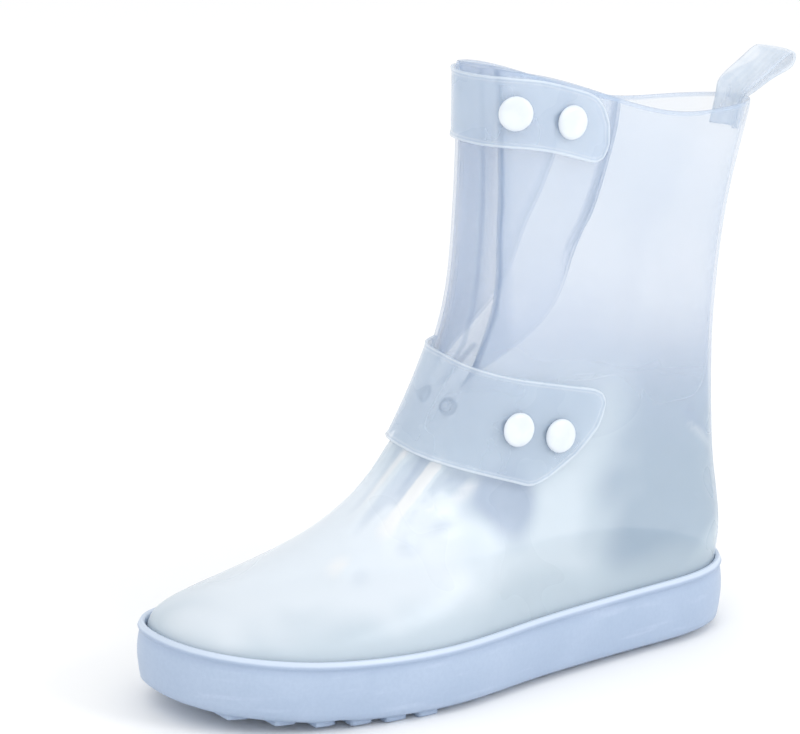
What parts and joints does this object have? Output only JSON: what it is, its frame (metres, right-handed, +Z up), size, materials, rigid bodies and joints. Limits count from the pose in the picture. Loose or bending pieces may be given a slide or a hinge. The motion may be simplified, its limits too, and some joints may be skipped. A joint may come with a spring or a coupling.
{
  "type": "rain shoe cover (left boot)",
  "caption": "See-through moulded rain cover for a left shoe: boot upper with a bellows fold, sole cup with tread, tab and ankle strap with press studs, pull loop.",
  "frame": {"origin": "on the ground, on the tread block under the middle of the sole", "axes": "toe to -Y, heel to +Y, outer side of the foot to +X, +Z up"},
  "size_m": [0.1189, 0.3406, 0.273],
  "materials": {
    "clear_film": "see-through milky film",
    "milky_sole": "thick milky bluish, satin",
    "strap_film": "see-through film, satin",
    "white_cap": "opaque white, glossy",
    "clear_stud": "clear, glossy"
  },
  "bodies": {
    "root": {"upper": "clear_film", "sole": "milky_sole", "rim_tab": "strap_film", "ankle_strap": "strap_film", "pull_loop": "strap_film", "rim_tab_cap_1": "white_cap", "rim_tab_cap_2": "white_cap", "ankle_cap_1": "white_cap", "ankle_cap_2": "white_cap", "rim_tab_stud_1": "clear_stud", "rim_tab_stud_2": "clear_stud", "ankle_stud_1": "clear_stud", "ankle_stud_2": "clear_stud", "spare_stud_1": "clear_stud", "spare_stud_2": "clear_stud"}
  },
  "joints": []
}
